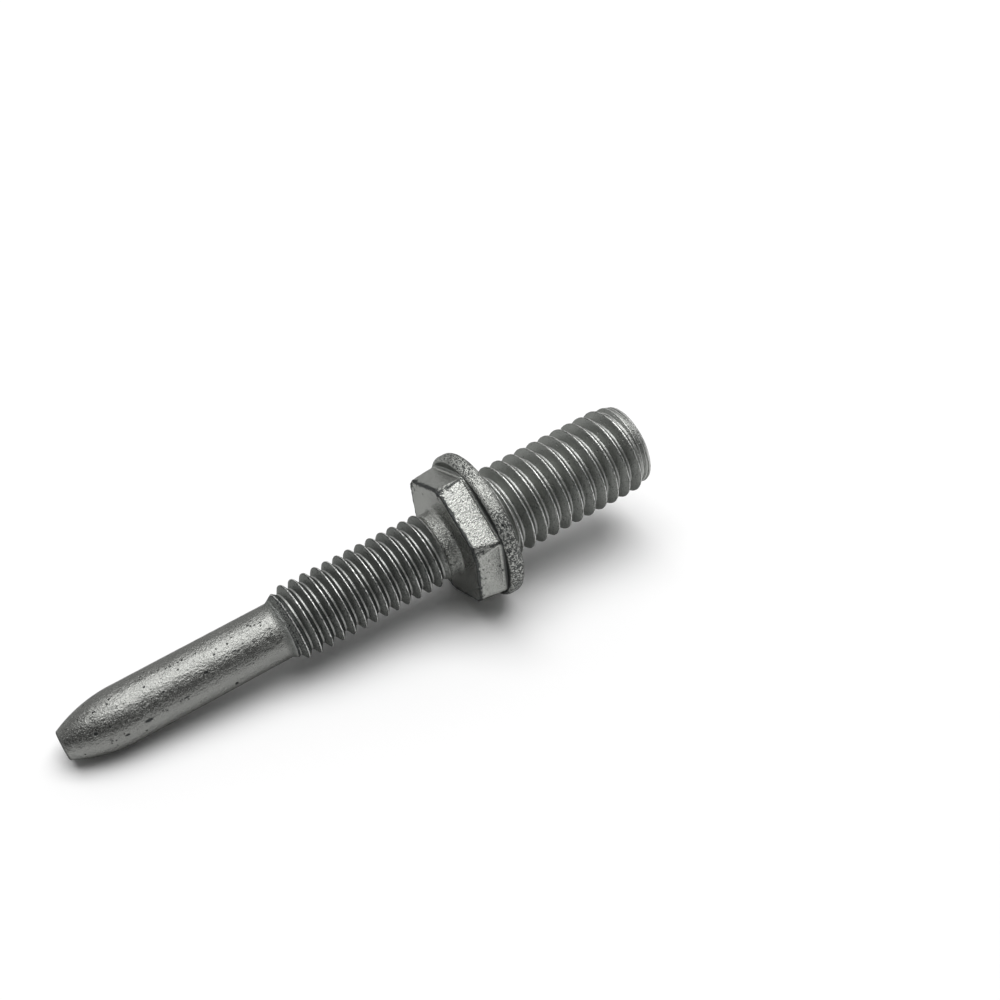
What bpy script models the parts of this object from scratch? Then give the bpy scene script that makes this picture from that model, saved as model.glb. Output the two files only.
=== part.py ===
# Double-ended hex flange stud, one forged and thread-rolled piece of steel, in metres.
# From its tip it has a smooth pilot, a thin thread, a hexagon on a flange and a thick thread.
# It is modelled upright, tip down at z = 0, and then laid on its side as it comes to rest.

import math

import bmesh
import bpy
from mathutils import Vector

MM = 0.001

# Pilot
PILOT_DIAMETER = 5.88 * MM
PILOT_LENGTH = 22.25 * MM
TIP_FACE_DIAMETER = 2.9 * MM
OGIVE_LENGTH = 6.0 * MM

# Thin thread and the plain neck between it and the hexagon
THIN_DIAMETER = 7.8 * MM
THIN_PITCH = 1.25 * MM
THIN_LENGTH = 17.55 * MM
THIN_CREST_ANGLE = math.radians(87.5)
THIN_NECK_DIAMETER = 7.1 * MM
THIN_NECK_LENGTH = 1.45 * MM
LEAD_CONE_ANGLE = math.radians(31)

# Hexagon, a little narrower at its pilot end, with its corners turned to a cone
HEX_ACROSS_FLATS = 13.0 * MM
HEX_HEIGHT = 3.15 * MM
HEX_DRAFT = math.radians(0.5)
HEX_CORNER_DIAMETER = 14.2 * MM
HEX_CORNER_ANGLE = math.radians(7)
HEX_TURN = math.radians(-1.5)

# Flange, flat on the side of the thick thread and slightly conical on the other
FLANGE_DIAMETER = 15.9 * MM
FLANGE_THICKNESS = 1.6 * MM
FLANGE_EDGE_RADIUS = 0.65 * MM
FLANGE_CONE_ANGLE = math.radians(2)
SEAT_FILLET = 0.45 * MM

# Thick thread and the plain neck between it and the seat's fillet
THICK_DIAMETER = 9.8 * MM
THICK_PITCH = 1.5 * MM
THICK_LENGTH = 18.3 * MM
THICK_CREST_ANGLE = math.radians(205)
THICK_NECK_DIAMETER = 9.0 * MM
THICK_NECK_LENGTH = 0.1 * MM
END_DIAMETER = 8.8 * MM
END_CONE_ANGLE = math.radians(18)
END_EDGE = 0.2 * MM

# Thread form: shares of the pitch, and the angle of each flank to the radius
THREAD_DEPTH_SHARE = 0.6134
CREST_FLAT_SHARE = 0.125
FLANK_ANGLE = math.radians(30)

# Run-out beside the flange: the root rises to the neck over a longer way than the crest falls
CREST_RUN_OUT_ANGLE = math.radians(42)
ROOT_RUN_OUT_ANGLE = math.radians(22)

# Fineness of the round shapes
ROUND_STEPS = 32
OGIVE_STEPS = 8
EDGE_STEPS = 3
SPARE_TURNS = 2
SMOOTH_ANGLE = math.radians(28)
WELD = 0.001 * MM
STEP = math.tau / ROUND_STEPS

# Heights along the stud's axis
thinEnd = PILOT_LENGTH + THIN_LENGTH
hexFace = thinEnd + THIN_NECK_LENGTH
flangeRim = hexFace + HEX_HEIGHT
seat = flangeRim + FLANGE_THICKNESS
thickStart = seat + SEAT_FILLET + THICK_NECK_LENGTH
topEnd = seat + THICK_LENGTH


def clear_scene():
    for item in list(bpy.data.objects):
        bpy.data.objects.remove(item, do_unlink=True)


def add_object(name, mesh):
    item = bpy.data.objects.new(name, mesh)
    bpy.context.scene.collection.objects.link(item)
    return item


def baked_mesh(item):
    """Mesh of an object with its modifiers applied."""
    bpy.context.view_layer.update()
    evaluated = item.evaluated_get(bpy.context.evaluated_depsgraph_get())
    return bpy.data.meshes.new_from_object(evaluated)


def outline_object(name, outline):
    """Open outline of (radius, height) pairs, half a step round from the +X axis."""
    x = math.cos(STEP / 2)
    y = math.sin(STEP / 2)
    points = [(r * x, r * y, z) for r, z in outline]
    edges = [(i, i + 1) for i in range(len(points) - 1)]
    mesh = bpy.data.meshes.new(name)
    mesh.from_pydata(points, edges, [])
    return add_object(name, mesh)


def add_screw(item, pitch=0.0, turns=1):
    screw = item.modifiers.new("Screw", "SCREW")
    screw.axis = "Z"
    screw.angle = math.tau
    screw.screw_offset = pitch
    screw.iterations = turns
    screw.steps = ROUND_STEPS
    screw.render_steps = ROUND_STEPS
    screw.use_merge_vertices = True
    screw.merge_threshold = WELD


def turned(name, outline):
    """Surface of revolution. The middle of a facet, not an edge, faces along -X."""
    item = outline_object(name, outline)
    add_screw(item)
    return item


def add_boolean(item, other, operation):
    boolean = item.modifiers.new(other.name, "BOOLEAN")
    boolean.operation = operation
    boolean.solver = "EXACT"
    boolean.object = other
    other.hide_render = True
    other.display_type = "WIRE"


def arc(centre, radius, start, end, steps):
    """Points on a circle in the (radius, height) plane, both ends included."""
    points = []
    for i in range(steps + 1):
        angle = start + (end - start) * i / steps
        points.append((centre[0] + radius * math.cos(angle), centre[1] + radius * math.sin(angle)))
    return points


def cone_length(radius, other_radius, angle):
    return abs(radius - other_radius) / math.tan(angle)


def ogive():
    """Tip outline from the pilot's full radius down to the tip face, tangent to the pilot."""
    drop = (PILOT_DIAMETER - TIP_FACE_DIAMETER) / 2
    radius = (OGIVE_LENGTH ** 2 + drop ** 2) / (2 * drop)
    sweep = math.asin(OGIVE_LENGTH / radius)
    centre = (PILOT_DIAMETER / 2 - radius, OGIVE_LENGTH)
    return arc(centre, radius, 0, -sweep, OGIVE_STEPS)


def thick_end():
    """End face with its edge, down to where the thread begins."""
    end = END_DIAMETER / 2
    return turned("thick_end", [(0, topEnd), (end - END_EDGE, topEnd), (end, topEnd - END_EDGE)])


def flange():
    """Thick neck, seat with its fillet, rounded rim and conical side, down to the thin neck."""
    neck = THICK_NECK_DIAMETER / 2
    rim = FLANGE_DIAMETER / 2
    edge = FLANGE_EDGE_RADIUS
    fillet = arc((neck + SEAT_FILLET, seat + SEAT_FILLET), SEAT_FILLET, math.pi, 1.5 * math.pi, EDGE_STEPS)
    upper = arc((rim - edge, seat - edge), edge, math.pi / 2, 0, EDGE_STEPS)
    lower = arc((rim - edge, flangeRim + edge), edge, 0, FLANGE_CONE_ANGLE - math.pi / 2, EDGE_STEPS)
    inner = THIN_NECK_DIAMETER / 2
    foot_radius, foot_height = lower[-1]
    cone_foot = foot_height - (foot_radius - inner) * math.tan(FLANGE_CONE_ANGLE)
    outline = [(neck, thickStart)] + fillet + upper + lower + [(inner, cone_foot), (inner, thinEnd)]
    return turned("flange", outline)


def pilot():
    return turned("pilot", [(PILOT_DIAMETER / 2, PILOT_LENGTH)] + ogive() + [(0, 0)])


def radius_at(outline, height):
    """Radius of an upward outline of (radius, height) pairs at a height."""
    for (low_radius, low), (high_radius, high) in zip(outline, outline[1:]):
        if height <= high:
            share = (height - low) / (high - low)
            return low_radius + (high_radius - low_radius) * share
    return outline[-1][0]


def thread(name, diameter, pitch, crest_angle, low, high, fade_in, fade_out):
    """Right-hand thread between two heights, which fades into the plain radius at each end.

    One pitch of its section is screwed up the axis, past both ends. What lies outside the
    thread's length, or outside the two cones at its ends, is then moved onto them.
    """
    low_radius, low_crest_angle, low_root_angle = fade_in
    high_radius, high_crest_angle, high_root_angle = fade_out
    crest = diameter / 2
    root = crest - THREAD_DEPTH_SHARE * pitch
    half_crest = CREST_FLAT_SHARE * pitch / 2
    half_foot = half_crest + (crest - root) * math.tan(FLANK_ANGLE)
    turns = math.ceil((high - low) / pitch) + 2 * SPARE_TURNS
    middle = low - SPARE_TURNS * pitch - pitch * (crest_angle - STEP / 2) / math.tau
    outline = [
        (root, middle + half_foot),
        (crest, middle + half_crest),
        (crest, middle - half_crest),
        (root, middle - half_foot),
        (root, middle + half_foot - pitch),
    ]
    helix = outline_object(name, outline)
    add_screw(helix, pitch, turns)
    outer = [
        (low_radius, low),
        (crest, low + cone_length(crest, low_radius, low_crest_angle)),
        (crest, high - cone_length(crest, high_radius, high_crest_angle)),
        (high_radius, high),
    ]
    inner = [
        (low_radius, low),
        (root, low + cone_length(root, low_radius, low_root_angle)),
        (root, high - cone_length(root, high_radius, high_root_angle)),
        (high_radius, high),
    ]
    mesh = baked_mesh(helix)
    for vertex in mesh.vertices:
        height = min(max(vertex.co.z, low), high)
        radius = vertex.co.xy.length
        trimmed = min(max(radius, radius_at(inner, height)), radius_at(outer, height))
        share = trimmed / radius
        vertex.co = (vertex.co.x * share, vertex.co.y * share, height)
    bpy.data.objects.remove(helix, do_unlink=True)
    return add_object(name, mesh)


def thin_thread():
    return thread(
        "thin_thread",
        THIN_DIAMETER,
        THIN_PITCH,
        THIN_CREST_ANGLE,
        PILOT_LENGTH,
        thinEnd,
        (PILOT_DIAMETER / 2, LEAD_CONE_ANGLE, LEAD_CONE_ANGLE),
        (THIN_NECK_DIAMETER / 2, CREST_RUN_OUT_ANGLE, ROOT_RUN_OUT_ANGLE),
    )


def thick_thread():
    return thread(
        "thick_thread",
        THICK_DIAMETER,
        THICK_PITCH,
        THICK_CREST_ANGLE,
        thickStart,
        topEnd - END_EDGE,
        (THICK_NECK_DIAMETER / 2, CREST_RUN_OUT_ANGLE, ROOT_RUN_OUT_ANGLE),
        (END_DIAMETER / 2, END_CONE_ANGLE, END_CONE_ANGLE),
    )


def hexagon():
    """Drafted six-sided block, with its corners turned to a cone. Its top ends in the flange."""
    top = flangeRim + FLANGE_THICKNESS / 2
    height = top - hexFace
    low_flat = HEX_ACROSS_FLATS / 2 - HEX_HEIGHT * math.tan(HEX_DRAFT)
    high_flat = low_flat + height * math.tan(HEX_DRAFT)
    shape = bmesh.new()
    bmesh.ops.create_cone(
        shape,
        cap_ends=True,
        segments=6,
        radius1=low_flat / math.cos(math.pi / 6),
        radius2=high_flat / math.cos(math.pi / 6),
        depth=height,
    )
    mesh = bpy.data.meshes.new("hexagon")
    shape.to_mesh(mesh)
    shape.free()
    item = add_object("hexagon", mesh)
    item.location.z = hexFace + height / 2
    item.rotation_euler.z = HEX_TURN + math.pi / 6
    corner = HEX_CORNER_DIAMETER / 2
    above = top + HEX_HEIGHT
    below = hexFace - HEX_HEIGHT
    slope = math.tan(HEX_CORNER_ANGLE)
    cone = turned("hexagon_corner_cone", [
        (0, above),
        (corner + (above - hexFace) * slope, above),
        (corner - (hexFace - below) * slope, below),
        (0, below),
    ])
    add_boolean(item, cone, "INTERSECT")
    return item


def steel():
    material = bpy.data.materials.new("zinc_flake_steel")
    material.use_nodes = True
    shader = material.node_tree.nodes["Principled BSDF"]
    shader.inputs["Base Color"].default_value = (0.28, 0.29, 0.285, 1.0)
    shader.inputs["Metallic"].default_value = 0.9
    shader.inputs["Roughness"].default_value = 0.45
    return material


def rest_tilt(mesh):
    """Angle of the axis to the floor when the stud lies on the hull edge under its balance point."""
    shape = bmesh.new()
    shape.from_mesh(mesh)
    bmesh.ops.triangulate(shape, faces=shape.faces[:])
    volume = 0.0
    moment = 0.0
    for face in shape.faces:
        a, b, c = (vertex.co for vertex in face.verts)
        part = a.dot(b.cross(c)) / 6
        volume += part
        moment += part * (a.z + b.z + c.z) / 4
    balance = moment / volume
    below = sorted((vertex.co.z, -vertex.co.x) for vertex in shape.verts if vertex.co.x < 0)
    shape.free()
    hull = []
    for point in below:
        while len(hull) > 1 and turn(hull[-2], hull[-1], point) >= 0:
            hull.pop()
        hull.append(point)
    for first, second in zip(hull, hull[1:]):
        if first[0] <= balance <= second[0]:
            return math.atan2(second[1] - first[1], second[0] - first[0])
    return 0.0


def turn(first, second, third):
    """Positive where three points of a plane turn to the left."""
    along = (second[0] - first[0], second[1] - first[1])
    on = (third[0] - first[0], third[1] - first[1])
    return along[0] * on[1] - along[1] * on[0]


def round_body():
    """Every turned and threaded stretch, welded ring to ring into one closed surface."""
    shape = bmesh.new()
    for piece in (thick_end(), thick_thread(), flange(), thin_thread(), pilot()):
        shape.from_mesh(baked_mesh(piece))
        bpy.data.objects.remove(piece, do_unlink=True)
    bmesh.ops.remove_doubles(shape, verts=shape.verts[:], dist=WELD)
    bmesh.ops.triangulate(shape, faces=shape.faces[:])
    mesh = bpy.data.meshes.new("round_body")
    shape.to_mesh(mesh)
    shape.free()
    return add_object("round_body", mesh)


def stud():
    body = round_body()
    add_boolean(body, hexagon(), "UNION")
    mesh = baked_mesh(body)
    mesh.name = "flange_stud"
    clear_scene()
    mesh.shade_smooth()
    mesh.set_sharp_from_angle(angle=SMOOTH_ANGLE)
    mesh.materials.clear()
    mesh.materials.append(steel())
    return add_object("flange_stud", mesh)


def lay_down(item):
    """Lie along X, tip towards -X, with the middle of the box above the origin."""
    item.rotation_euler = (0, rest_tilt(item.data) - math.pi / 2, math.pi)
    bpy.context.view_layer.update()
    corners = [item.matrix_world @ vertex.co for vertex in item.data.vertices]
    low = Vector([min(corner[axis] for corner in corners) for axis in range(3)])
    high = Vector([max(corner[axis] for corner in corners) for axis in range(3)])
    item.location = (-(low.x + high.x) / 2, -(low.y + high.y) / 2, -low.z)


clear_scene()
lay_down(stud())
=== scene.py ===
import math

import bmesh
import bpy
import numpy as np
from mathutils import Euler, Matrix, Vector, noise


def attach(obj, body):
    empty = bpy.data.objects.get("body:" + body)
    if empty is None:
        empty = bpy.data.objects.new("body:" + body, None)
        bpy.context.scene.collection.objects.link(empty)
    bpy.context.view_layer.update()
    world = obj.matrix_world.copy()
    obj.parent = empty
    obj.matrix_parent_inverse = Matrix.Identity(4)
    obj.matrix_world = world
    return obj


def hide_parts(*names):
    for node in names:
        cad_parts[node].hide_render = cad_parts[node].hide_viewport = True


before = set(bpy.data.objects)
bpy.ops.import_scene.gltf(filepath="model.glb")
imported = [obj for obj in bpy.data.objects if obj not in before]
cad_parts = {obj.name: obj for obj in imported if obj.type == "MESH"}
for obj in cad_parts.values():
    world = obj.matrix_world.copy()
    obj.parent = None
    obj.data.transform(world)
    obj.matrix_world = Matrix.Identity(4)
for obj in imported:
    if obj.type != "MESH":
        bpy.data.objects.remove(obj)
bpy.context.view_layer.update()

mm = 0.001
print("scene: frame loaded")

# where the stud lies: its axis rises from the tip, which is at -X
lie = {
    "tip": (-32.071, 0.0, 2.258),  # middle of the tip face, mm
    "rise": 7.131,  # degrees
}
lieTurn = Euler((0, math.radians(lie["rise"] - 90), math.pi))

# sizes in mm along the stud's own axis, from its tip
stud = {
    "pilotRadius": 2.94,
    "pilotEnd": 22.25,
    "tipRadius": 1.45,
    "tipEdge": 0.14,
    "ogiveLength": 6.0,
    "thinEnd": 39.8,
    "thinNeckRadius": 3.55,
    "neckFillet": 0.4,
    "hexFace": 41.25,
    "hexFlats": 13.0,
    "hexDraft": 0.5,  # degrees
    "hexCorner": 7.1,  # radius that the corners are turned to at the end face
    "hexCornerAngle": 7.0,  # degrees
    "hexCornerSoft": 0.05,
    "hexTurn": -1.5,  # degrees, first corner
    "hexSideEdge": 0.14,
    "hexFaceEdge": 0.15,
    "footHeight": 0.34,
    "footWidth": 0.18,
    "footForm": ((0.3, 0.044), (0.48, 0.118), (0.58, 0.353), (0.8, 0.647)),  # shares of both
    "footClear": 0.03,  # least way from the foot to the rim's edge
    "flangeRim": 44.4,
    "flangeRadius": 7.95,
    "lip": 0.12,  # how far the rim stands out towards the pilot
    "lipStart": 6.9,
    "rimEdge": 0.5,
    "seatEdge": 0.65,
    "seat": 46.0,
    "seatFillet": 0.45,
    "thickNeckRadius": 4.5,
    "thickStart": 46.55,
    "topEnd": 64.3,
    "endRadius": 4.4,
    "endEdge": 0.2,
}

# the two threads: crestAngle is where a crest crosses the low end
thinThread = {
    "crest": 3.9,
    "pitch": 1.25,
    "crestAngle": 87.5,
    "low": stud["pilotEnd"],
    "high": stud["thinEnd"],
    "lowRadius": stud["pilotRadius"],
    "highRadius": stud["thinNeckRadius"],
    "lowAngles": (31.0, 31.0),  # cone that cuts the crests, cone that the roots climb
    "highAngles": (42.0, 22.0),
}
thickThread = {
    "crest": 4.9,
    "pitch": 1.5,
    "crestAngle": 205.0,
    "low": stud["thickStart"],
    "high": stud["topEnd"] - stud["endEdge"],
    "lowRadius": stud["thickNeckRadius"],
    "highRadius": stud["endRadius"],
    "lowAngles": (42.0, 22.0),
    "highAngles": (18.0, 18.0),
}
threadForm = {
    "depth": 0.6134,  # shares of the pitch
    "crestHalf": 0.0625,
    "footHalf": 0.4167,
    "crestSoft": 0.1,  # how round crest and root are, as shares of the depth
    "rootSoft": 0.16,
    "runOutSoft": 0.12,  # mm
    "endReach": 0.2,  # mm over which that softness sets in
    "rows": (0, 0.04, 0.07, 0.1, 0.37, 0.42, 0.46, 0.5, 0.54, 0.58, 0.63, 0.9, 0.93, 0.96),
}

# mesh fineness: how many rows each stretch has; lengths in mm
fine = {
    "sectorColumns": 28,
    "crowding": 0.8,  # how much closer the columns are at the hexagon's corners
    "tipRing": 0.5,  # share of the tip's radius
    "ogiveFirst": 0.06,
    "ogiveStep": 0.25,
    "pilot": 44,
    "neck": 5,
    "fillet": 5,
    "hexEnd": 8,
    "hexEdge": 6,
    "hexSide": 20,
    "shelf": 7,
    "rimEdge": 7,
    "rim": 5,
    "seat": 8,
    "endEdge": 4,
    "endRings": (0.85, 0.6, 0.3, 0),  # shares of the end face's radius
    "weld": 0.004,
    "sliver": 0.001,
    "normalWeight": 60,
}


def softMin(a, b, width):
    share = np.clip(0.5 + 0.5 * (b - a) / width, 0, 1)
    return b * (1 - share) + a * share - width * share * (1 - share)


def softMax(a, b, width):
    return -softMin(-a, -b, width)


def columnAngles(crowding):
    share = np.arange(fine["sectorColumns"] * 6 + 1) / fine["sectorColumns"]
    bend = crowding * np.sin(math.tau * share) / math.tau
    return math.radians(stud["hexTurn"]) + (share - bend) * math.pi / 3


plainAngles = columnAngles(0)
hexAngles = columnAngles(fine["crowding"])


def ring(radius, height):
    flat = np.zeros_like(plainAngles)
    return plainAngles, flat + radius, flat + height


def arcRings(centreRadius, centreHeight, size, start, end, steps):
    rows = []
    for i in range(steps + 1):
        turn = math.radians(start + (end - start) * i / steps)
        rows.append(ring(centreRadius + size * math.cos(turn), centreHeight + size * math.sin(turn)))
    return rows


def pilotRows():
    tip = stud["tipRadius"]
    pilot = stud["pilotRadius"]
    ogive = stud["ogiveLength"]
    rows = [ring(0, 0), ring(tip * fine["tipRing"], 0), ring(tip - stud["tipEdge"], 0)]
    drop = pilot - tip
    size = (ogive ** 2 + drop ** 2) / (2 * drop)
    for height in np.arange(0, ogive, fine["ogiveStep"]) + fine["ogiveFirst"]:
        reach = math.sqrt(size ** 2 - (ogive - height) ** 2)
        rows.append(ring(pilot - size + reach, height))
    length = stud["pilotEnd"] - ogive
    return rows + [ring(pilot, ogive + length * i / fine["pilot"]) for i in range(fine["pilot"] + 1)]


def envelopes(thread, radius, which):
    # height and radius pairs of the cones that hold a crest or a root at both ends
    rise = abs(radius - thread["lowRadius"]) / math.tan(math.radians(thread["lowAngles"][which]))
    fall = abs(radius - thread["highRadius"]) / math.tan(math.radians(thread["highAngles"][which]))
    heights = (thread["low"], thread["low"] + rise, thread["high"] - fall, thread["high"])
    return heights, (thread["lowRadius"], radius, radius, thread["highRadius"])


def threadRows(thread):
    low, high, pitch = thread["low"], thread["high"], thread["pitch"]
    depth = threadForm["depth"] * pitch
    root = thread["crest"] - depth
    foot = threadForm["footHalf"]
    lead = (plainAngles - math.radians(thread["crestAngle"])) / math.tau
    outer = envelopes(thread, thread["crest"], 0)
    inner = envelopes(thread, root, 1)
    rows = []
    for turn in range(-2, math.ceil((high - low) / pitch) + 3):  # what is past an end folds onto it
        for part in threadForm["rows"]:
            height = np.clip(low + pitch * (turn + part + lead), low, high)
            place = (height - low) / pitch - lead
            reach = np.abs(place - np.round(place))
            ramp = (foot - reach) / (foot - threadForm["crestHalf"])
            level = softMax(softMin(ramp, 1, threadForm["crestSoft"]), 0, threadForm["rootSoft"])
            inside = np.minimum(height - low, high - height) / threadForm["endReach"]
            soft = threadForm["runOutSoft"] * np.clip(inside, 0.001, 1)  # never quite 0, it divides
            radius = softMax(root + depth * level, np.interp(height, *inner), soft)
            radius = softMin(radius, np.interp(height, *outer), soft)
            rows.append((plainAngles, radius, height))
    return rows


def fromCorner(angles):
    # signed way to the nearest corner of the hexagon, radians
    return np.mod(angles - math.radians(stud["hexTurn"]) + math.pi / 6, math.pi / 3) - math.pi / 6


def hexRadius(angles, height):
    draft = (stud["flangeRim"] - height) * math.tan(math.radians(stud["hexDraft"]))
    flat = stud["hexFlats"] / 2 - draft
    edge = stud["hexSideEdge"]
    away = fromCorner(angles)
    centre = (flat - edge) / math.cos(math.pi / 6)
    touch = math.atan2(edge * 0.5, centre + edge * math.cos(math.pi / 6))  # where edge meets flat
    reach = np.sqrt(np.maximum(edge ** 2 - (centre * np.sin(away)) ** 2, 0))
    plain = flat / np.cos(math.pi / 6 - np.abs(away))
    side = np.where(np.abs(away) < touch, centre * np.cos(away) + reach, plain)
    slope = math.tan(math.radians(stud["hexCornerAngle"]))
    cone = stud["hexCorner"] + (height - stud["hexFace"]) * slope
    return softMin(side, cone, stud["hexCornerSoft"])


def footRadius(share):
    # the fillet at the hexagon's foot, from 0 at the side to 1 on the flange's face
    base = hexRadius(hexAngles, stud["flangeRim"] - stud["footHeight"])
    limit = stud["flangeRadius"] - stud["rimEdge"] - stud["footClear"]
    return np.minimum(base + stud["footWidth"] * share, limit)


def hexRows():
    face = stud["hexFace"]
    edge = stud["hexFaceEdge"]
    fillet = stud["neckFillet"]
    neck = stud["thinNeckRadius"]
    inner = neck + fillet
    length = face - fillet - stud["thinEnd"]
    rows = [ring(neck, stud["thinEnd"] + length * i / fine["neck"]) for i in range(fine["neck"])]
    rows += arcRings(inner, face - fillet, fillet, 180, 90, fine["fillet"])
    border = hexRadius(hexAngles, face + edge)
    for i in range(1, fine["hexEnd"] + 1):  # end face, from the neck's fillet to the rounded edge
        share = i / fine["hexEnd"]
        radius = inner + (border - edge - inner) * share
        rows.append((columnAngles(fine["crowding"] * share), radius, np.full_like(radius, face)))
    for i in range(1, fine["hexEdge"] + 1):
        turn = math.radians(90 * i / fine["hexEdge"])
        height = face + edge - edge * math.cos(turn)
        rows.append((hexAngles, border - edge + edge * math.sin(turn), np.full_like(border, height)))
    foot = stud["flangeRim"] - stud["footHeight"]
    for height in np.linspace(face + edge, foot, fine["hexSide"] + 1)[1:]:
        rows.append((hexAngles, hexRadius(hexAngles, height), np.full_like(border, height)))
    faceStart = flangeRows()[0]  # the foot ends on this ring, so that the skin is closed
    for share, drop in stud["footForm"]:
        rows.append((hexAngles, footRadius(share), foot + (faceStart[2] - foot) * drop))
    return rows + [faceStart]


def flangeRows():
    flat = stud["flangeRadius"] - stud["rimEdge"]
    foot = footRadius(1)
    rows = []
    for i in range(fine["shelf"] + 1):  # face beside the hexagon, dished up to the rim's lip
        share = i / fine["shelf"]
        radius = foot + (flat - foot) * share
        rise = np.clip((radius - stud["lipStart"]) / (flat - stud["lipStart"]), 0, 1) ** 2
        angles = columnAngles(fine["crowding"] * (1 - share))
        rows.append((angles, radius, stud["flangeRim"] - stud["lip"] * rise))
    low = stud["flangeRim"] - stud["lip"] + stud["rimEdge"]
    high = stud["seat"] - stud["seatEdge"]
    outer = stud["flangeRadius"] - stud["seatEdge"]
    fillet = stud["seatFillet"]
    inner = stud["thickNeckRadius"] + fillet
    rows += arcRings(flat, low, stud["rimEdge"], -90, 0, fine["rimEdge"])[1:]
    for i in range(1, fine["rim"]):
        rows.append(ring(stud["flangeRadius"], low + (high - low) * i / fine["rim"]))
    rows += arcRings(outer, high, stud["seatEdge"], 0, 90, fine["rimEdge"])
    for i in range(1, fine["seat"]):
        rows.append(ring(outer + (inner - outer) * i / fine["seat"], stud["seat"]))
    rows += arcRings(inner, stud["seat"] + fillet, fillet, 270, 180, fine["fillet"])
    return rows + [ring(stud["thickNeckRadius"], stud["thickStart"])]


def endRows():
    flat = stud["endRadius"] - stud["endEdge"]
    rows = arcRings(flat, stud["topEnd"] - stud["endEdge"], stud["endEdge"], 0, 90, fine["endEdge"])
    return rows + [ring(flat * share, stud["topEnd"]) for share in fine["endRings"]]


def meshFrom(stretches):
    # every stretch is a grid of rows and columns; they share their end rings and are welded there
    columns = len(plainAngles)
    points = []
    faces = []
    for rows in stretches:
        first = len(points)
        for angles, radius, height in rows:
            x, y = radius * np.cos(angles), radius * np.sin(angles)
            points += list(zip(x * mm, y * mm, height * mm))
        for i in range(len(rows) - 1):
            for j in range(columns - 1):
                a = first + i * columns + j
                faces.append((a, a + 1, a + columns + 1, a + columns))
    mesh = bpy.data.meshes.new("stud")
    mesh.from_pydata(points, [], faces)
    shape = bmesh.new()
    shape.from_mesh(mesh)
    bmesh.ops.remove_doubles(shape, verts=shape.verts[:], dist=fine["weld"] * mm)
    bmesh.ops.dissolve_degenerate(shape, edges=shape.edges[:], dist=fine["sliver"] * mm)
    bmesh.ops.recalc_face_normals(shape, faces=shape.faces[:])
    shape.to_mesh(mesh)
    shape.free()
    mesh.shade_smooth()
    return mesh


# how far the metal strays from its true form, mm
wear = {
    "noises": {"broad": 0.9, "middle": 2.3, "small": 4.5},  # per mm
    "noiseShift": (7, 3, 1),  # keeps the middle noise apart from the broad one
    "depths": {  # depth, then the shares of a plain shift and of the three noises
        "pilot": (0.012, 0, 1, 0.5, 0),
        "thread": (0.014, 0, 1, 1, 1),
        "hexagon": (0.006, 0, 1, 0, 0),
        "edge": (-0.07, 0.5, 0, 1, 0.6),
        "rim": (0.018, -0.25, 0, 0.5, 1),
    },
    "places": {  # from, to and how softly they end
        "pilot": (0.2, stud["pilotEnd"], 0.5),
        "thin": (stud["pilotEnd"], stud["thinEnd"], 0.4),
        "thick": (stud["thickStart"], stud["topEnd"] + 1, 0.4),
        "hexagon": (stud["hexFace"] - 0.2, stud["flangeRim"] - 0.05, 0.1),
        "corner": (stud["hexFace"], stud["flangeRim"] - 0.3, 0.1),
        "rim": (stud["flangeRim"] - 0.3, stud["seat"], 0.1),
    },
    "hexFrom": 4.4,  # radius
    "sidesFrom": 6.2,  # the end face lies inside this radius
    "rimFrom": (7.2, 7.5),
    "edgeHalf": 0.1,
    "edgeReach": 0.3,  # how far from a hexagon's edge the wear goes
    "sideShare": 0.7,  # share of it at the edges between two sides
    "cornerShare": 0.5,  # and on the corners' turned faces
    "cornerFrom": (0.03, 0.11),  # how far these lie under the full hexagon
}


def between(value, low, high, soft):
    return np.clip((value - low) / soft + 0.5, 0, 1) * np.clip((high - value) / soft + 0.5, 0, 1)


def rising(value, start, end):
    return np.clip((value - start) / (end - start), 0, 1)


def edgeNearness(on, radius, angle, height):
    # 1 on the hexagon's edges, fading beside them
    face = stud["hexFace"]
    border = hexRadius(angle, face + stud["hexFaceEdge"])
    toFaceEdge = np.hypot(np.maximum(border - radius, 0), np.maximum(height - face, 0))
    toFaceEdge = np.maximum(toFaceEdge - wear["edgeHalf"], 0)
    away = np.abs(fromCorner(angle))
    sides = radius > wear["sidesFrom"]
    faceEdge = np.exp(-toFaceEdge / wear["edgeReach"])
    sideEdge = wear["sideShare"] * np.exp(-away * radius / wear["edgeReach"]) * sides
    under = stud["hexFlats"] / 2 / np.cos(math.pi / 6 - away) - radius
    corner = rising(under, *wear["cornerFrom"]) * on["corner"] * sides * wear["cornerShare"]
    return np.maximum(on["hexagon"] * np.maximum(faceEdge, sideEdge), corner)


def noiseAt(points, scale, shift=(0, 0, 0)):
    return np.array([noise.noise(Vector(point) * scale + Vector(shift)) for point in points])


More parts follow.
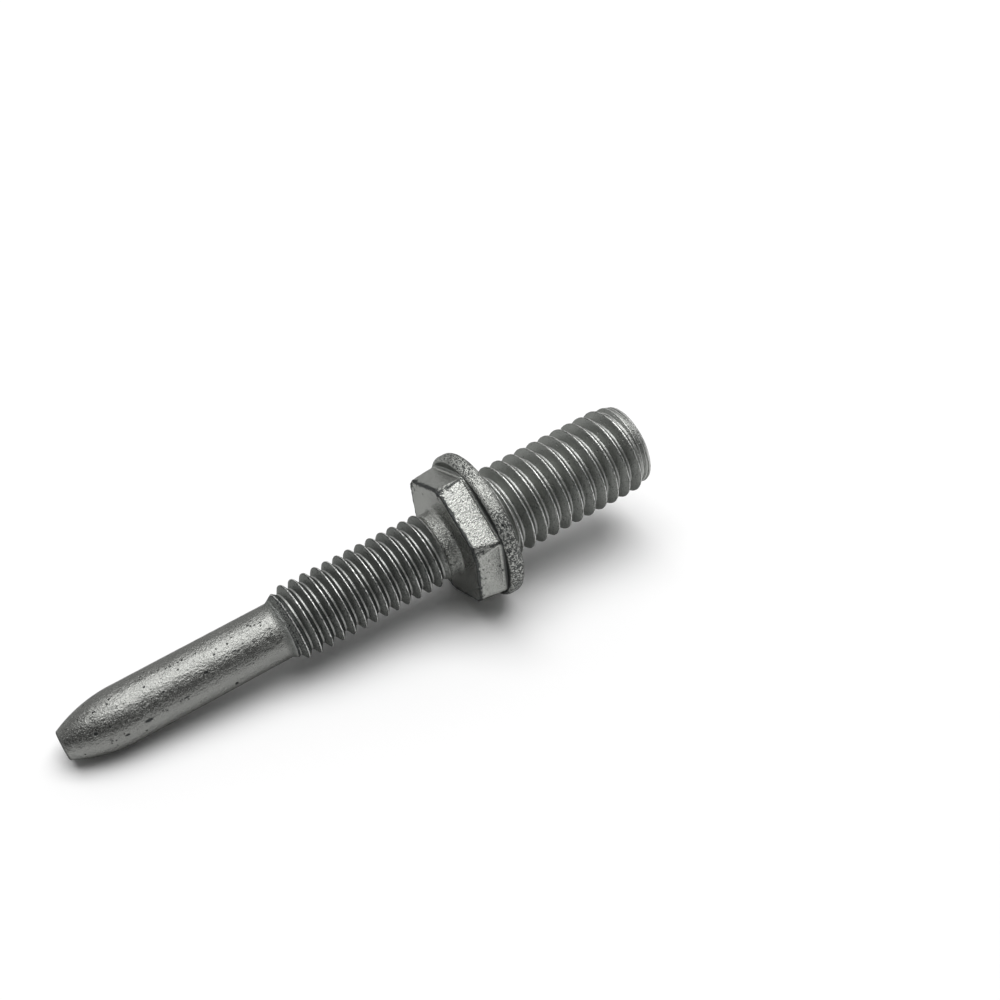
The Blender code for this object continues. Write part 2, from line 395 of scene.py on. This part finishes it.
def wearSurface(mesh):
    # moves each point along its normal, and keeps how worn it is for the material
    points = np.array([v.co for v in mesh.vertices]) / mm
    normals = np.array([v.normal for v in mesh.vertices])
    radius = np.hypot(points[:, 0], points[:, 1])
    angle = np.arctan2(points[:, 1], points[:, 0])
    height = points[:, 2]
    on = {name: between(height, *ends) for name, ends in wear["places"].items()}
    on["thread"] = on["thin"] + on["thick"]
    on["hexagon"] = on["hexagon"] * (radius > wear["hexFrom"])
    on["rim"] = on["rim"] * rising(radius, *wear["rimFrom"])
    on["edge"] = edgeNearness(on, radius, angle, height)
    scales = wear["noises"]
    broad = noiseAt(points, scales["broad"])
    middle = noiseAt(points, scales["middle"], wear["noiseShift"])
    small = noiseAt(points, scales["small"])
    shift = sum(
        on[name] * depth * (level + a * broad + b * middle + c * small)
        for name, (depth, level, a, b, c) in wear["depths"].items()
    )
    moved = (points + normals * shift[:, None]) * mm
    mesh.vertices.foreach_set("co", moved.astype(np.float32).ravel())
    attribute = mesh.attributes.new("edgeWear", "FLOAT", "POINT")
    attribute.data.foreach_set("value", on["edge"].astype(np.float32))
    mesh.update()


studMesh = meshFrom([
    pilotRows(),
    threadRows(thinThread),
    hexRows(),
    flangeRows(),
    threadRows(thickThread),
    endRows(),
])
print("scene: stud surface", len(studMesh.vertices), "points", len(studMesh.polygons), "faces")
wearSurface(studMesh)
studMesh.transform(Matrix.LocRotScale(Vector(lie["tip"]) * mm, lieTurn, None))
body = bpy.data.objects.new("stud_body", studMesh)
bpy.context.scene.collection.objects.link(body)
crisp = body.modifiers.new("crisp", "WEIGHTED_NORMAL")  # wide faces decide the shading
crisp.weight = fine["normalWeight"]
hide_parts("flange_stud")
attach(body, "root")
print("scene: stud in place")


class Wire:
    # one socket of a node, so that shader maths reads as arithmetic
    def __init__(self, graph, socket):
        self.graph = graph
        self.socket = socket

    def maths(self, operation, *values):
        return self.graph.add("ShaderNodeMath", {"operation": operation}, dict(enumerate(values)))

    def __add__(self, other):
        return self.maths("ADD", self, other)

    def __sub__(self, other):
        return self.maths("SUBTRACT", self, other)

    def __mul__(self, other):
        return self.maths("MULTIPLY", self, other)

    def __truediv__(self, other):
        return self.maths("DIVIDE", self, other)

    def __pow__(self, other):
        return self.maths("POWER", self, other)

    def __radd__(self, other):
        return self.maths("ADD", other, self)

    def __rsub__(self, other):
        return self.maths("SUBTRACT", other, self)

    def __rmul__(self, other):
        return self.maths("MULTIPLY", other, self)

    def __rtruediv__(self, other):
        return self.maths("DIVIDE", other, self)

    def clamped(self):
        return self.maths("MINIMUM", self.maths("MAXIMUM", self, 0.0), 1.0)

    def absolute(self):
        return self.maths("ABSOLUTE", self)

    def fraction(self):
        return self.maths("FRACT", self)


class Graph:
    # the nodes of one material or of the world
    def __init__(self, tree):
        self.tree = tree
        tree.nodes.clear()

    def add(self, kind, settings=None, inputs=None, output=0):
        node = self.tree.nodes.new(kind)
        for name, value in (settings or {}).items():
            setattr(node, name, value)
        for name, value in (inputs or {}).items():
            if isinstance(value, Wire):
                self.tree.links.new(value.socket, node.inputs[name])
            else:
                node.inputs[name].default_value = value
        return Wire(self, node.outputs[output])

    def finish(self, kind, surface):
        self.tree.links.new(surface.socket, self.tree.nodes.new(kind).inputs["Surface"])

    def mixed(self, share, first, second):
        return self.add("ShaderNodeMix", {"data_type": "RGBA"}, {0: share, 6: first, 7: second}, 2)

    def noise(self, place, scale, detail, rough):
        return self.add("ShaderNodeTexNoise", None, {
            "Vector": place, "Scale": scale, "Detail": detail, "Roughness": rough})

    def cells(self, place, scale, output="Distance"):
        return self.add("ShaderNodeTexVoronoi", None, {"Vector": place, "Scale": scale}, output)

    def channel(self, colour, which):
        return self.add("ShaderNodeSeparateColor", None, {"Color": colour}, which)


def step(value, start, end):
    return ((value - start) / (end - start)).clamped()


def blend(masks, shares):
    return sum(masks[name] * share for name, share in shares.items())


# zinc flake coating; lengths in mm, colours linear
finish = {
    "low": (0.200, 0.208, 0.197, 1.0),  # the coating's tone wanders between these two
    "high": (0.306, 0.316, 0.299, 1.0),
    "dark": (0.030, 0.033, 0.034, 1.0),  # pits, chips and grooves, and painted shade
    "worn": (0.755, 0.760, 0.744, 1.0),  # thread crests rubbed bright, and painted highlights on crests, roots and the thick end
    "forged": (0.440, 0.448, 0.425, 1.0),  # hexagon and flange rim, and painted highlight on the neck
    "drawn": (0.236, 0.233, 0.225, 1.0),  # pilot
    "metallic": 0.9,
    "edgeTint": (0.35, 0.35, 0.35, 1.0),
    "roughness": {"pilot": 0.25, "hexagon": 0.19, "rim": 0.22, "neck": 0.21, "thread": 0.40},
    "plainRoughness": 0.34,
    "crestRoughness": 0.27,
    "noises": {  # scale per mm, detail, roughness
        "broad": (0.35, 3.0, 0.5),
        "middle": (1.6, 4.0, 0.6),
        "streak": (2.4, 4.0, 0.6),
        "coarse": (3.6, 4.0, 0.65),
        "grain": (5.5, 3.0, 0.6),
        "speck": (11.0, 2.0, 0.6),
    },
    "streakStretch": (1.0, 1.0, 0.35),
    "tone": {"broad": 0.5, "middle": 0.7, "grain": 1.6},  # how much each noise sways the tone
    "streakTone": 0.7,
    "thickTone": 0.12,
}

# each place of the finish in mm: its lower and upper height, how far from the lower one it
# starts and is full, and how far from the upper one it is last full and ends
places = {
    "pilot": (0, stud["pilotEnd"], (0, 0.1), (-0.4, 0.2)),
    "collar": (stud["pilotEnd"], stud["pilotEnd"], (-0.5, -0.1), (0.8, 1.5)),
    "thin": (stud["pilotEnd"], stud["thinEnd"], (0.2, 0.7), (-0.5, 0)),
    "neck": (stud["thinEnd"], stud["hexFace"], (-0.5, 0), (-0.1, 0.05)),
    "hexagon": (stud["hexFace"], stud["flangeRim"], (-0.15, 0), (-0.3, -0.1)),
    "flange": (stud["flangeRim"], stud["seat"], (-0.3, -0.1), (-0.1, 0.02)),
    "start": (stud["seat"], stud["thickStart"], (0.15, 0.3), (1.0, 1.5)),
    "thick": (stud["thickStart"], stud["topEnd"], (0, 0.4), (-0.5, -0.2)),
}
# smaller places: where each starts and where it is full, mm
borders = {
    "neckRadius": (5.0, 4.4),
    "topFace": (-0.12, -0.04),  # past the top
    "topLines": (-1.7, -1.4),
    "tipFace": (0.05, 0.01),
    "tipFaceRadius": (1.4, 1.2),
    "tipEdge": (0.18, 0.05),
    "tipEdgeRadius": (1.1, 1.3),
    "rimRadius": (7.56, 7.64),
    "rimRagged": {"coarse": 0.3, "grain": 0.2},
}

# marks on the metal; each pair of values is where a mark starts and where it is full
marking = {
    "waver": 0.12,  # how far the threads' lines wander, mm
    # crests rubbed bright, and painted highlight along them
    "crestLine": {"place": 0.03, "border": (0.06075, 0.02925)},  # mm from the crest, from the line
    "crestGaps": {"noises": {"middle": 1, "grain": 1.5}, "border": (-0.14, -0.02)},
    # painted highlight along the thread roots
    "rootHighlight": {"place": 0.47, "border": (0.07, 0.03)},  # share of the pitch, mm from the line
    # painted shade on the flanks that face the thick end
    "farFlankShade": ((0.07, 0.12), (0.46, 0.40)),  # shares of the pitch past a crest
    # painted shade at the feet of the flanks that face the pilot, beside the roots
    "nearFootShade": (-0.36, -0.42),
    # painted shade in broken dashes beside the bright crest lines
    "crestShade": {"place": 0.10, "border": (0.06, 0.03)},  # mm from the bright line
    "crestShadeGaps": {"noises": {"coarse": 1, "grain": 0.8}, "border": (0.01, -0.04)},
    # turned rings at the thick thread's ends, painted bright as highlights
    "endLines": {"perMm": 2.8, "border": (0.14, 0.06)},
    # painted highlight along the thick end's rounded edge
    "endEdge": {"place": -0.16, "border": (0.14, 0.08), "radius": (4.0, 4.2), "gaps": (-0.15, 0)},
    "chips": {"noises": {"middle": 0.9, "coarse": 1.6, "grain": 0.8}, "border": (0.50, 0.60)},
    "hexSpecks": (-0.04, -0.12),
    # dark specks on the rim, and painted shade and highlight: more specks low down and at the back,
    # fewer on the bright band
    "rimSpecks": {
        "noises": {"coarse": 0.7, "grain": 1.6},
        "border": (-0.04, -0.11),
        "low": (3.8, 5.2),  # y, towards the camera and down
        "lowMore": 0.10,
        "back": (1.0, -0.4),
        "backMore": 0.04,
        "band": (0.2, 1.6),  # the rim's bright band
        "bandLess": 0.4,
    },
    "pits": {
        "large": {
            "scale": 1.25,  # cells per mm
            "ragged": 0.2,
            "border": (0.20, 0.09),
            "rare": (0.72, 0.76),  # share of the cells that stay empty
            "channel": 0,
            "on": {"hexagon": 0.7, "pilot": 0.8, "rim": 1},
        },
        "small": {
            "scale": 2.9,
            "ragged": 0.25,
            "border": (0.34, 0.16),
            "rare": (0.79, 0.83),
            "channel": 1,
            "on": {"pilot": 0.85, "hexagon": 0.2, "thread": 0.5, "neck": 1},
        },
    },
    "dents": (  # pilot: height, angle in degrees, half length along the stud and across it
        (3.1, 47, 0.24, 0.20), (7.72, 72, 0.44, 0.20), (5.48, 78, 0.24, 0.14),
        (14.15, 42, 0.22, 0.16), (16.28, 97, 0.16, 0.22), (17.34, 32, 0.22, 0.08),
        (8.67, 12, 0.12, 0.10), (11.6, 67, 0.30, 0.10), (9.93, 37, 0.14, 0.10),
        (4.44, 47, 0.10, 0.16),
    ),
    "dentRagged": 0.9,
    "dentBorder": (1.1, 0.7),
    "dentFront": (0, 0.5),  # mm towards the dent's angle, so that only its own side is marked
}

# how much of the dark tone each mark and place takes; much of it is painted shade
shade = {
    # chips, pits, dents and hexagon specks are marks on the metal; the rim's specks are partly
    # painted shade; crest dashes and flank feet are painted shade
    "marks": {"chips": 0.85, "pits": 0.85, "rimSpecksAndShade": 0.85, "dents": 0.9, "crestShade": 0.85,
              "hexSpecks": 0.4, "nearFootShade": 0.35},
    # the shelf beside the hexagon takes painted shade, more on its lower side
    "places": {"face": 0.15, "shelf": 0.05, "collar": 0.25, "thin": 0.2, "tipEdge": 0.7},
    "grain": {"face": 1.4, "collar": 1.2, "neck": 2.4, "thread": 0.9},
    # painted shade on the lower side of the thread, with dark grain there, and on the lower side of
    # the neck
    "lowThreadShade": {"level": 0.10, "grain": 0.9, "from": (2.2, 3.6)},  # y, towards the camera and down
    "lowShelfShade": {"level": 0.7, "from": (-1, 3)},
    "lowNeckShade": {"level": 0.35, "from": (1.0, 2.6)},
    "threadSpeck": 1.2,
    # painted shade on the flanks that face the thick end; the thick thread's get less of it
    "farFlankShade": 0.46,  # the flanks that face the thick end
    "thickFlankLess": 0.8,  # share that the thick thread's flanks do without
    # the painted root highlight takes away this share of the dark tone
    "rootLineLess": 0.85,
}

# what the bright tones cover: painted highlights on crests, which are partly rubbed, on roots and on
# the thick end, the lighter coating of hexagon and rim, and a painted highlight on the neck
bright = {
    "lines": {"crestLine": 0.9, "rootHighlight": 0.3, "endEdge": 0.9, "endLines": 0.85},
    # lighter coating of hexagon and rim, a painted highlight on the shaded neck, and a lighter thick
    # thread
    "forged": {"hexagon": 0.85, "rim": 1, "neck": 1, "thick": 0.18},
    "hexGrain": 2.0,
    "drawn": 0.5,
}

# height of the surface in mm: for each noise everywhere and more on some places, and for each mark
relief = {
    "grain": {"all": 0.035, "hexagon": 0.03, "thread": 0.015, "rim": 0.05, "neck": 0.06,
              "collar": 0.1},
    "speck": {"all": 0.012, "rim": 0.015, "neck": 0.02},
    "streak": {"pilot": 0.06},
    "coarse": {"rim": 0.06, "pilot": 0.05, "neck": 0.03, "face": 0.08},
    "middle": {"all": 0.02, "pilot": 0.035},
    "marks": {"pits": -0.08, "chips": -0.07, "dents": -0.16, "endLines": 0.05},
}
roughRelief = {"middle": 0.2, "grain": 0.15, "marksAndShade": 0.2}  # what sways the roughness


def studFrame(g):
    # place in the stud's own frame, in mm, and what is worked out from it
    place = g.add("ShaderNodeTexCoord", output="Object")
    place = g.add("ShaderNodeMapping", {"vector_type": "TEXTURE"}, {
        "Vector": place,
        "Location": Vector(lie["tip"]) * mm,
        "Rotation": lieTurn,
        "Scale": (mm, mm, mm),
    })
    at = {axis: g.add("ShaderNodeSeparateXYZ", None, {0: place}, axis.upper()) for axis in "xyz"}
    at["place"] = place
    at["radius"] = (at["x"] * at["x"] + at["y"] * at["y"]) ** 0.5
    angle = g.add("ShaderNodeMath", {"operation": "ARCTAN2"}, {0: at["y"], 1: at["x"]})
    at["turns"] = angle / math.tau
    at["worn"] = g.add("ShaderNodeAttribute", {"attribute_name": "edgeWear"}, output="Fac")
    return at


def finishNoises(g, at):
    # each sways about 0
    along = g.add("ShaderNodeVectorMath", {"operation": "MULTIPLY"}, {
        0: at["place"], 1: finish["streakStretch"]})
    noises = {}
    for name, values in finish["noises"].items():
        noises[name] = g.noise(along if name == "streak" else at["place"], *values) - 0.5
    return noises


def placeMasks(at, n):
    # 1 on each place of the stud
    z, radius, past = at["z"], at["radius"], at["z"] - stud["topEnd"]
    on = {}
    for name, (low, high, (start, full), (last, end)) in places.items():
        on[name] = step(z, low + start, low + full) * step(z, high + end, high + last)
    on["neck"] = on["neck"] * step(radius, *borders["neckRadius"])
    on["thread"] = on["thin"] + on["thick"]
    tipFace = step(z, *borders["tipFace"]) * step(radius, *borders["tipFaceRadius"])
    on["face"] = step(past, *borders["topFace"]) + tipFace
    on["end"] = step(past, *borders["topLines"]) - on["face"]
    on["tipEdge"] = step(z, *borders["tipEdge"]) * step(radius, *borders["tipEdgeRadius"])
    ragged = radius + blend(n, borders["rimRagged"])
    on["rim"] = step(ragged, *borders["rimRadius"]) * on["flange"]
    on["shelf"] = on["flange"] - on["rim"]
    on["all"] = 1.0
    return on


def noiseMask(n, mark):
    return step(blend(n, mark["noises"]), *mark["border"])


def threadPhase(at, thread):
    # share of a pitch past the nearest crest, -0.5 to 0.5
    lead = thread["crestAngle"] / 360 + 0.5
    return ((at["z"] - thread["low"]) / thread["pitch"] - at["turns"] + lead).fraction() - 0.5


def threadMarks(at, n, on):
    # bright lines on crests, partly rubbed and partly painted highlight, painted highlight in the
    # roots, painted shade on the far flanks and the feet, and painted shade in dashes beside the
    # crests
    phase = threadPhase(at, thinThread) * on["thin"] + threadPhase(at, thickThread) * on["thick"]
    pitch = on["thin"] * thinThread["pitch"] + on["thick"] * thickThread["pitch"]
    crest, root, crestShadeMark = marking["crestLine"], marking["rootHighlight"], marking["crestShade"]
    crestAway = (phase * pitch - crest["place"] + n["middle"] * marking["waver"]).absolute()
    rootAway = ((phase.absolute() - root["place"]) * pitch).absolute()
    crestShadeAway = (crestAway - crestShadeMark["place"]).absolute()
    crestWhole = noiseMask(n, marking["crestGaps"])
    farStart, farEnd = marking["farFlankShade"]
    return {
        "crestLine": step(crestAway, *crest["border"]) * crestWhole * on["thread"],
        "rootHighlight": step(rootAway, *root["border"]) * on["thread"],
        "farFlankShade": step(phase, *farStart) * step(phase, *farEnd) * on["thread"],
        "nearFootShade": step(phase, *marking["nearFootShade"]) * on["thread"],
        "crestShade": step(crestShadeAway, *crestShadeMark["border"]) * noiseMask(n, marking["crestShadeGaps"]) * on["thread"],
    }


def endMarks(at, n, on):
    # fine turned lines at both ends of the thick thread, painted bright as highlights, and a painted
    # highlight on its edge
    lines, edge = marking["endLines"], marking["endEdge"]
    rings = ((at["z"] + n["middle"] * marking["waver"]) * lines["perMm"]).fraction()
    edgeAway = (at["z"] - (stud["topEnd"] + edge["place"])).absolute()
    onEdge = step(edgeAway, *edge["border"]) * step(at["radius"], *edge["radius"])
    return {
        "endLines": step((rings - 0.5).absolute(), *lines["border"]) * (on["end"] + on["start"]),
        "endEdge": onEdge * step(n["middle"], *edge["gaps"]),
    }


def pitMask(g, at, n, on):
    total = 0
    for pit in marking["pits"].values():
        random = g.channel(g.cells(at["place"], pit["scale"], "Color"), pit["channel"])
        border = step(g.cells(at["place"], pit["scale"]) + n["grain"] * pit["ragged"], *pit["border"])
        total = border * step(random, *pit["rare"]) * blend(on, pit["on"]) + total
    return total.clamped()


def dentMask(at, n):
    # 1 inside the pilot's dents, which have ragged borders
    total = 0
    for height, angle, length, width in marking["dents"]:
        turn = math.radians(angle)
        beside = (at["y"] * math.cos(turn) - at["x"] * math.sin(turn)) / width
        near = (((at["z"] - height) / length) ** 2 + beside ** 2) ** 0.5
        near = near + n["coarse"] * marking["dentRagged"]
        front = at["x"] * math.cos(turn) + at["y"] * math.sin(turn)
        total = step(near, *marking["dentBorder"]) * step(front, *marking["dentFront"]) + total
    return total.clamped()


def rimSpeckle(at, n, on):
    # dark specks on the rim, and painted shade: more of them low down and at the back, fewer on its
    # bright band, which stays a painted highlight
    specks = marking["rimSpecks"]
    low = step(at["y"], *specks["low"])
    spread = low * specks["lowMore"] + step(at["y"], *specks["back"]) * specks["backMore"]
    start, full = specks["border"]
    dark = step(blend(n, specks["noises"]), spread + start, spread + full) * on["rim"]
    return dark * (1 - specks["bandLess"] * step(at["y"], *specks["band"]) * (1 - low))


def allMarks(g, at, n, on):
    chips = marking["chips"]
    return {
        **threadMarks(at, n, on),
        **endMarks(at, n, on),
        "pits": pitMask(g, at, n, on),
        "chips": step(at["worn"] + blend(n, chips["noises"]), *chips["border"]) * on["hexagon"],
        "dents": dentMask(at, n) * on["pilot"],
        "hexSpecks": step(n["speck"], *marking["hexSpecks"]) * on["hexagon"],
        "rimSpecksAndShade": rimSpeckle(at, n, on),
    }


def darkShare(at, n, on, marks):
    # dark share: pits, chips, dents and specks, and painted shade on far flanks, flank feet, beside
    # crests, on the shelf and on lower sides
    y = at["y"]
    lowThreadShade = step(y, *shade["lowThreadShade"]["from"])
    lowGrain = n["grain"] * shade["lowThreadShade"]["grain"] + shade["lowThreadShade"]["level"]
    # painted shade on the far flanks, less of it on the thick thread
    flank = shade["farFlankShade"] * (1 - on["thick"] * shade["thickFlankLess"])
    marksAndShade = blend(marks, shade["marks"]) + blend(on, shade["places"])
    marksAndShade = marksAndShade + n["grain"] * blend(on, shade["grain"])
    marksAndShade = marksAndShade + on["thread"] * (n["speck"] * shade["threadSpeck"] + lowThreadShade * lowGrain)
    marksAndShade = marksAndShade + on["shelf"] * step(y, *shade["lowShelfShade"]["from"]) * shade["lowShelfShade"]["level"]
    marksAndShade = marksAndShade + on["neck"] * step(y, *shade["lowNeckShade"]["from"]) * shade["lowNeckShade"]["level"]
    marksAndShade = marksAndShade + marks["farFlankShade"] * flank
    return marksAndShade.clamped() * (1 - marks["rootHighlight"] * shade["rootLineLess"])


def coatColour(g, n, on, marks, marksAndShade):
    tone = 0.5 + on["thick"] * finish["thickTone"] + blend(n, finish["tone"])
    tone = tone + n["streak"] * on["pilot"] * finish["streakTone"]
    forged = blend(on, bright["forged"]) + on["hexagon"] * n["grain"] * bright["hexGrain"]
    colour = g.mixed(tone.clamped(), finish["low"], finish["high"])
    colour = g.mixed(on["pilot"] * bright["drawn"], colour, finish["drawn"])
    colour = g.mixed(forged.clamped(), colour, finish["forged"])
    # the dark tone: marks on the metal and painted shade
    colour = g.mixed(marksAndShade, colour, finish["dark"])
    # painted highlights, partly rubbed crests, in the bright worn tone
    return g.mixed(blend(marks, bright["lines"]).clamped(), colour, finish["worn"])


def coatRoughness(n, on, marks, marksAndShade):
    plain = finish["plainRoughness"]
    rough = plain + sum(on[name] * (value - plain) for name, value in finish["roughness"].items())
    rough = rough + marks["crestLine"] * (finish["crestRoughness"] - finish["roughness"]["thread"])
    return (rough + blend({**n, "marksAndShade": marksAndShade}, roughRelief)).clamped()


def coatHeight(n, on, marks):
    height = blend(marks, relief["marks"])
    for name in ("grain", "speck", "streak", "coarse", "middle"):
        height = height + n[name] * blend(on, relief[name])
    return height


def makeFinish():
    material = bpy.data.materials.new("zincFlake")
    material.use_nodes = True
    g = Graph(material.node_tree)
    at = studFrame(g)
    n = finishNoises(g, at)
    on = placeMasks(at, n)
    marks = allMarks(g, at, n, on)
    marksAndShade = darkShare(at, n, on, marks)
    bump = g.add("ShaderNodeBump", None, {
        "Strength": 1.0, "Distance": mm, "Height": coatHeight(n, on, marks)})
    surface = g.add("ShaderNodeBsdfPrincipled", None, {
        "Base Color": coatColour(g, n, on, marks, marksAndShade),
        "Metallic": finish["metallic"],
        "Specular Tint": finish["edgeTint"],
        "Roughness": coatRoughness(n, on, marks, marksAndShade),
        "Normal": bump,
    })
    g.finish("ShaderNodeOutputMaterial", surface)
    return material


body.data.materials.append(makeFinish())
print("scene: finish made")


# floor, world, lights and camera; lengths in metres
studio = {
    "floorSize": 8.0,
    "floorDrop": 0.02 * mm,
    "floorColour": (0.92, 0.92, 0.92, 1.0),
    "floorRoughness": 0.9,
    "floorGloss": 0.1,
    "bright": 0.54,  # the walls behind the stud
    "dim": 0.037,  # the walls towards the camera
    "brightSide": (0.69, 0.73, 0.0),
    "fade": (-0.6, 0.8),  # share of the way to that side
}
lamps = {
    "key": {"place": (0.061, 0.200, 1.2), "turn": -43.3, "size": (1.34, 0.99), "radiance": 4.05},
}
photo = {  # camera, fitted to the outlines and threads of the stud
    "place": (-38.922, -76.497, 102.835),  # mm
    "turn": (0.789734, -0.040689, -0.577739),
    "lens": 46.297,
    "sensor": 36.0,
    "clip": 0.001,
}


def linked(name, data):
    thing = bpy.data.objects.new(name, data)
    bpy.context.scene.collection.objects.link(thing)
    return thing


def makeFloor():
    mesh = bpy.data.meshes.new("floor")
    half = studio["floorSize"] / 2
    corners = [(-half, -half, 0), (half, -half, 0), (half, half, 0), (-half, half, 0)]
    mesh.from_pydata(corners, [], [(0, 1, 2, 3)])
    floor = linked("floor", mesh)
    floor.location.z = -studio["floorDrop"]
    material = bpy.data.materials.new("paleFloor")
    material.use_nodes = True
    g = Graph(material.node_tree)
    surface = g.add("ShaderNodeBsdfPrincipled", None, {
        "Base Color": studio["floorColour"],
        "Roughness": studio["floorRoughness"],
        "Specular IOR Level": studio["floorGloss"],
    })
    g.finish("ShaderNodeOutputMaterial", surface)
    floor.data.materials.append(material)


def makeWorld():
    world = bpy.data.worlds.new("studio")
    bpy.context.scene.world = world
    world.use_nodes = True
    g = Graph(world.node_tree)
    way = g.add("ShaderNodeTexCoord", output="Generated")
    side = g.add("ShaderNodeVectorMath", {"operation": "DOT_PRODUCT"}, {
        0: way, 1: studio["brightSide"]}, "Value")
    level = studio["dim"] + (studio["bright"] - studio["dim"]) * step(side, *studio["fade"])
    surface = g.add("ShaderNodeBackground", None, {"Color": (1.0, 1.0, 1.0, 1.0), "Strength": level})
    g.finish("ShaderNodeOutputWorld", surface)


def makeLamps():
    for name, lamp in lamps.items():
        light = bpy.data.lights.new(name, "AREA")
        light.shape = "RECTANGLE"
        light.size, light.size_y = lamp["size"]
        light.energy = lamp["radiance"] * math.pi * light.size * light.size_y
        holder = linked(name, light)
        holder.location = lamp["place"]
        holder.rotation_euler.z = math.radians(lamp["turn"])


def makeCamera():
    camera = bpy.data.cameras.new("camera")
    camera.lens = photo["lens"]
    camera.sensor_width = photo["sensor"]
    camera.clip_start = photo["clip"]
    eye = linked("camera", camera)
    eye.location = Vector(photo["place"]) * mm
    eye.rotation_euler = photo["turn"]
    bpy.context.scene.camera = eye
    bpy.context.scene.view_settings.view_transform = "Standard"


makeFloor()
makeWorld()
makeLamps()
makeCamera()
print("scene: studio made")
